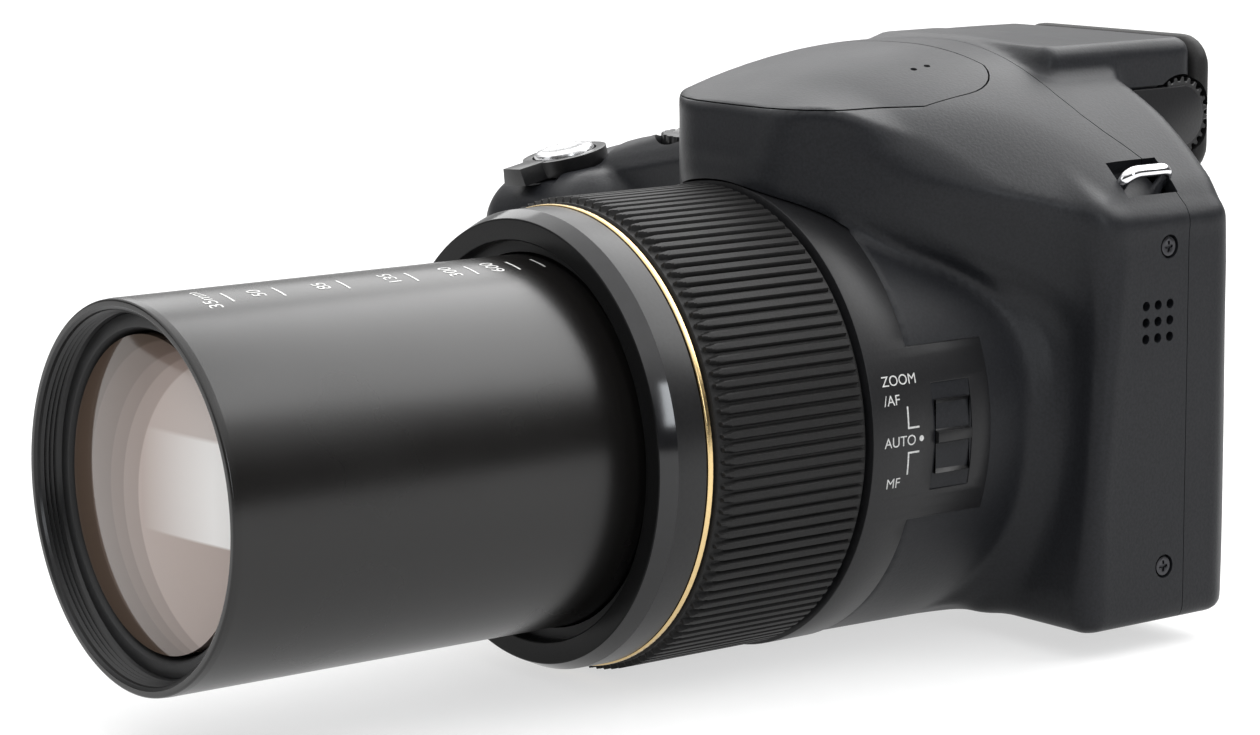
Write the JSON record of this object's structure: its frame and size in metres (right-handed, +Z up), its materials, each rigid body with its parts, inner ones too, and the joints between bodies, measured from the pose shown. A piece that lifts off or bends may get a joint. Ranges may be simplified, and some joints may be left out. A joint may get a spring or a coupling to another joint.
{
  "type": "bridge camera",
  "caption": "Bridge camera with its zoom tube run out, ribbed lens ring, pop-up flash hump, viewfinder, hinged screen and deep grip, built as a working assembly.",
  "frame": {"origin": "centre of the tripod socket's mouth, on the base plane", "axes": "+X to the camera's left side (right of a viewer facing the lens), lens looks along -Y, +Z up"},
  "size_m": [0.125, 0.1802, 0.0874],
  "materials": {
    "casing_plastic": "fine matte texture",
    "satin_black": "satin",
    "tube_grey": "satin",
    "gold_anodised": "satin gold",
    "aluminium": "satin",
    "steel": "ground",
    "chrome": "polished",
    "brass": "turned",
    "rubber": "matte",
    "glass": "coated",
    "screen_glass": "gloss",
    "board": "solder resist",
    "cell_wrap": "film",
    "button_grey": "satin"
  },
  "bodies": {
    "body": {"front_shell": "casing_plastic", "rear_shell": "casing_plastic", "lens_collar": "casing_plastic", "front_bezel": "satin_black", "gold_trim_ring": "gold_anodised", "guide_barrel": "satin_black", "barrel_seal": "rubber", "guide_rods": "steel", "sensor_mount": "aluminium", "image_sensor": "screen_glass", "sensor_board": "board", "chassis_frame": "aluminium", "main_board": "board", "flash_hinge": "steel", "flash_capacitor": "cell_wrap", "eyecup": "rubber", "eyepiece_lens": "glass", "finder_display": "satin_black", "finder_plate": "satin_black", "screen_hinge": "satin_black", "screen_pin": "steel", "battery": "cell_wrap", "memory_card": "satin_black", "port_block": "steel", "strap_lugs": "chrome", "speaker": "satin_black", "body_screws": "steel", "tripod_socket": "steel"},
    "zoom_unit": {"zoom_tube": "tube_grey", "follower_pins": "brass", "front_lens": "glass", "lens_retainer": "satin_black", "second_lens": "glass", "lens_cell": "satin_black"},
    "cam": {"cam_barrel": "aluminium"},
    "focus_group": {"focus_carriage": "satin_black", "focus_lens": "glass"},
    "control_ring": {"ring_carrier": "satin_black", "ring_grip": "rubber"},
    "focus_slider": {"focus_switch": "satin_black"},
    "flash_unit": {"flash_lid": "casing_plastic", "flash_head": "chrome", "flash_window": "glass", "flash_tube": "glass"},
    "release": {"shutter_button": "chrome"},
    "lever": {"zoom_lever": "satin_black"},
    "dial": {"mode_dial": "satin_black"},
    "power": {"power_button": "button_grey"},
    "function": {"function_button": "button_grey"},
    "diopter": {"diopter_dial": "satin_black"},
    "screen": {"screen_panel": "satin_black", "screen_glass": "screen_glass"},
    "record": {"record_button": "button_grey"},
    "play": {"play_button": "button_grey"},
    "menu": {"menu_button": "button_grey"},
    "delete": {"delete_button": "button_grey"},
    "pad": {"four_way_pad": "button_grey"},
    "ok": {"ok_button": "button_grey"},
    "door": {"battery_door": "casing_plastic"},
    "cover": {"port_cover": "rubber"}
  },
  "joints": [
    {"name": "zoom_extend", "type": "slide", "parent": "body", "child": "zoom_unit", "axis": [0, 1, 0], "range_m": [0, 0.056]},
    {"name": "cam_turn", "type": "hinge", "parent": "body", "child": "cam", "pos_m": [0, -0.045, 0.0305], "axis": [0, 1, 0], "range_deg": [0, 150]},
    {"name": "focus_drive", "type": "slide", "parent": "body", "child": "focus_group", "axis": [0, 1, 0], "range_m": [0, 0.007]},
    {"name": "ring_turn", "type": "hinge", "parent": "body", "child": "control_ring", "pos_m": [0, -0.058, 0.0305], "axis": [0, 1, 0], "continuous": true},
    {"name": "focus_select", "type": "slide", "parent": "body", "child": "focus_slider", "axis": [0, 0, 1], "range_m": [-0.002, 0.002]},
    {"name": "flash_lift", "type": "hinge", "parent": "body", "child": "flash_unit", "pos_m": [0, -0.0108, 0.0792], "axis": [-1, 0, 0], "range_deg": [0, 60]},
    {"name": "shutter_press", "type": "slide", "parent": "body", "child": "release", "axis": [0.0685, 0.1908, -0.9792], "range_m": [0, 0.0012], "stiffness_N_per_m": 500, "springref_m": -0.0008},
    {"name": "zoom_rock", "type": "hinge", "parent": "body", "child": "lever", "pos_m": [-0.066, -0.023, 0.0604], "axis": [-0.0685, -0.1908, 0.9792], "range_deg": [-20, 20], "stiffness_Nm_per_rad": 0.03},
    {"name": "mode_turn", "type": "hinge", "parent": "body", "child": "dial", "pos_m": [-0.04, -0.011, 0.064], "axis": [0, 0, 1], "continuous": true},
    {"name": "power_press", "type": "slide", "parent": "body", "child": "power", "axis": [0, 0, -1], "range_m": [0, 0.0005], "stiffness_N_per_m": 800, "springref_m": -0.0006},
    {"name": "function_press", "type": "slide", "parent": "body", "child": "function", "axis": [0, 0, -1], "range_m": [0, 0.0005], "stiffness_N_per_m": 800, "springref_m": -0.0006},
    {"name": "diopter_turn", "type": "hinge", "parent": "body", "child": "diopter", "pos_m": [0.018, 0.03, 0.0707], "axis": [1, 0, 0], "range_deg": [-60, 60]},
    {"name": "screen_swing", "type": "hinge", "parent": "body", "child": "screen", "pos_m": [0.0386, 0.0172, 0.03], "axis": [0, 0, -1], "range_deg": [0, 175]},
    {"name": "record_press", "type": "slide", "parent": "body", "child": "record", "axis": [0, -1, 0], "range_m": [0, 0.0005], "stiffness_N_per_m": 800, "springref_m": -0.0006},
    {"name": "play_press", "type": "slide", "parent": "body", "child": "play", "axis": [0, -1, 0], "range_m": [0, 0.0005], "stiffness_N_per_m": 800, "springref_m": -0.0006},
    {"name": "menu_press", "type": "slide", "parent": "body", "child": "menu", "axis": [0, -1, 0], "range_m": [0, 0.0005], "stiffness_N_per_m": 800, "springref_m": -0.0006},
    {"name": "delete_press", "type": "slide", "parent": "body", "child": "delete", "axis": [0, -1, 0], "range_m": [0, 0.0005], "stiffness_N_per_m": 800, "springref_m": -0.0006},
    {"name": "pad_press", "type": "slide", "parent": "body", "child": "pad", "axis": [0, -1, 0], "range_m": [0, 0.0005], "stiffness_N_per_m": 800, "springref_m": -0.0006},
    {"name": "ok_press", "type": "slide", "parent": "body", "child": "ok", "axis": [0, -1, 0], "range_m": [0, 0.0005], "stiffness_N_per_m": 800, "springref_m": -0.0006},
    {"name": "door_open", "type": "hinge", "parent": "body", "child": "door", "pos_m": [-0.0539, -0.009, 0.0009], "axis": [0, -1, 0], "range_deg": [0, 100]},
    {"name": "cover_open", "type": "hinge", "parent": "body", "child": "cover", "pos_m": [-0.0803, 0.0033, 0.029], "axis": [0, 0, -1], "range_deg": [0, 110]}
  ],
  "couplings": [
    {"joint": "cam_turn", "follows": "zoom_extend", "rad_per_m": 46.75},
    {"joint": "focus_drive", "follows": "zoom_extend", "ratio": 0.125}
  ]
}
